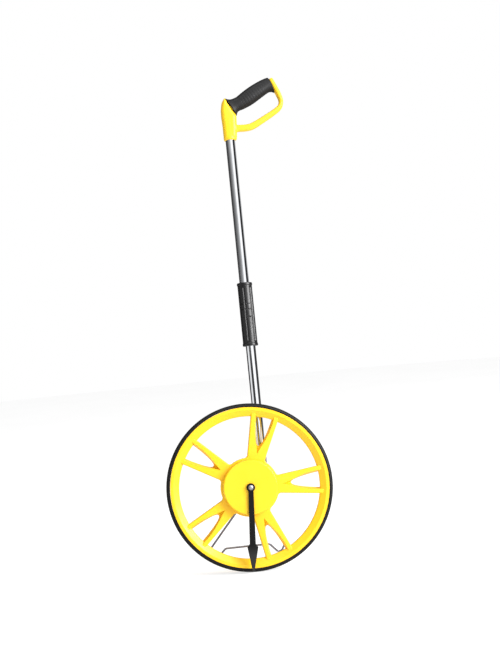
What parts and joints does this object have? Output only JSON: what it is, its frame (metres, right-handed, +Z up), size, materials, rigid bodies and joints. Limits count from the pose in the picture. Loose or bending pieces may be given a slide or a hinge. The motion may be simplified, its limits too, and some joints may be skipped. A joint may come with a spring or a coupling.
{
  "type": "measuring wheel",
  "caption": "Measuring wheel leaning on its wire stand: spoked wheel, hanging pointer, geared counter at the hub, folding tube shaft with a sliding lock and a D-handle.",
  "frame": {"origin": "middle of the tool's box on the floor that the tyre and the two wire feet stand on", "axes": "+Z up; +X across the wheel, towards the side the handle points to; +Y from the pointer's side to the counter's side. The tool leans back towards +Y by 6 degrees, so the axle, the wheel's plane and the shaft are tilted by 6 degrees about X"},
  "size_m": [0.3184, 0.18, 0.9565],
  "materials": {
    "tyre_rubber": "matt, slightly dusty moulded rubber",
    "yellow_plastic": "satin-gloss injection moulding",
    "black_plastic": "satin moulded",
    "white_plastic": "satin moulded",
    "red_plastic": "satin moulded",
    "grip_rubber": "soft, fine grained",
    "chrome_tube": "bright plated tube",
    "plated_steel": "bright zinc plate",
    "stand_wire": "dull zinc plated wire",
    "bush_brass": "turned bronze",
    "clear_window": "clear moulded window"
  },
  "bodies": {
    "frame": {"axle": "plated_steel", "axle_nut": "plated_steel", "pointer_screw": "plated_steel", "pointer_washer": "plated_steel", "counter_housing": "black_plastic", "housing_cover": "black_plastic", "cover_screw_1": "plated_steel", "cover_screw_2": "plated_steel", "cover_screw_3": "plated_steel", "cover_screw_4": "plated_steel", "counter_window": "clear_window", "counter_shaft": "plated_steel", "tube_screw": "plated_steel", "lower_tube": "chrome_tube", "hinge_fork": "black_plastic", "hinge_pin": "plated_steel"},
    "wheel_set": {"tyre": "tyre_rubber", "wheel": "yellow_plastic", "hub_cover": "yellow_plastic", "front_bush": "bush_brass", "rear_bush": "bush_brass", "drive_gear": "white_plastic"},
    "pointer_arm": {"pointer": "black_plastic"},
    "first_drum": {"counter_gear": "white_plastic", "drum_1": "white_plastic"},
    "second_drum": {"drum_2": "white_plastic"},
    "third_drum": {"drum_3": "white_plastic"},
    "fourth_drum": {"drum_4": "white_plastic"},
    "fifth_drum": {"drum_5": "white_plastic"},
    "button": {"reset_button": "red_plastic"},
    "wire_stand": {"stand": "stand_wire"},
    "sleeve": {"lock_sleeve": "black_plastic"},
    "upper_shaft": {"upper_tube": "chrome_tube", "hinge_tongue": "black_plastic", "handle_frame": "yellow_plastic", "grip": "grip_rubber", "handle_screw": "plated_steel"}
  },
  "joints": [
    {"name": "wheel_spin", "type": "hinge", "parent": "frame", "child": "wheel_set", "pos_m": [0, -0.04626, 0.15891], "axis": [0, 0.9945, -0.1045], "continuous": true},
    {"name": "pointer_swing", "type": "hinge", "parent": "frame", "child": "pointer_arm", "pos_m": [0, -0.04626, 0.15891], "axis": [0, 0.9945, -0.1045], "continuous": true},
    {"name": "drum_1_turn", "type": "hinge", "parent": "frame", "child": "first_drum", "pos_m": [-0.01478, -0.04428, 0.17772], "axis": [0, 0.9945, -0.1045], "continuous": true},
    {"name": "drum_2_turn", "type": "hinge", "parent": "frame", "child": "second_drum", "pos_m": [-0.01478, -0.04428, 0.17772], "axis": [0, 0.9945, -0.1045], "continuous": true},
    {"name": "drum_3_turn", "type": "hinge", "parent": "frame", "child": "third_drum", "pos_m": [-0.01478, -0.04428, 0.17772], "axis": [0, 0.9945, -0.1045], "continuous": true},
    {"name": "drum_4_turn", "type": "hinge", "parent": "frame", "child": "fourth_drum", "pos_m": [-0.01478, -0.04428, 0.17772], "axis": [0, 0.9945, -0.1045], "continuous": true},
    {"name": "drum_5_turn", "type": "hinge", "parent": "frame", "child": "fifth_drum", "pos_m": [-0.01478, -0.04428, 0.17772], "axis": [0, 0.9945, -0.1045], "continuous": true},
    {"name": "reset_press", "type": "slide", "parent": "frame", "child": "button", "axis": [0, -0.1045, -0.9945], "range_m": [0, 0.0025], "stiffness_N_per_m": 400, "springref_m": -0.002},
    {"name": "stand_fold", "type": "hinge", "parent": "frame", "child": "wire_stand", "pos_m": [-0.007, 0.01033, 0.11375], "axis": [1, 0, 0], "range_deg": [0, 138]},
    {"name": "shaft_fold", "type": "hinge", "parent": "frame", "child": "upper_shaft", "pos_m": [0.0226, 0.02994, 0.53953], "axis": [0, -0.9945, 0.1045], "range_deg": [0, 165]},
    {"name": "sleeve_slide", "type": "slide", "parent": "frame", "child": "sleeve", "axis": [0, -0.1045, -0.9945], "range_m": [0, 0.09]}
  ],
  "couplings": [
    {"joint": "drum_1_turn", "follows": "wheel_spin", "ratio": -1},
    {"joint": "drum_2_turn", "follows": "wheel_spin", "ratio": -0.1},
    {"joint": "drum_3_turn", "follows": "wheel_spin", "ratio": -0.01},
    {"joint": "drum_4_turn", "follows": "wheel_spin", "ratio": -0.001},
    {"joint": "drum_5_turn", "follows": "wheel_spin", "ratio": -0.0001},
    {"joint": "sleeve_slide", "follows": "shaft_fold", "m_per_rad": 0.03125}
  ]
}
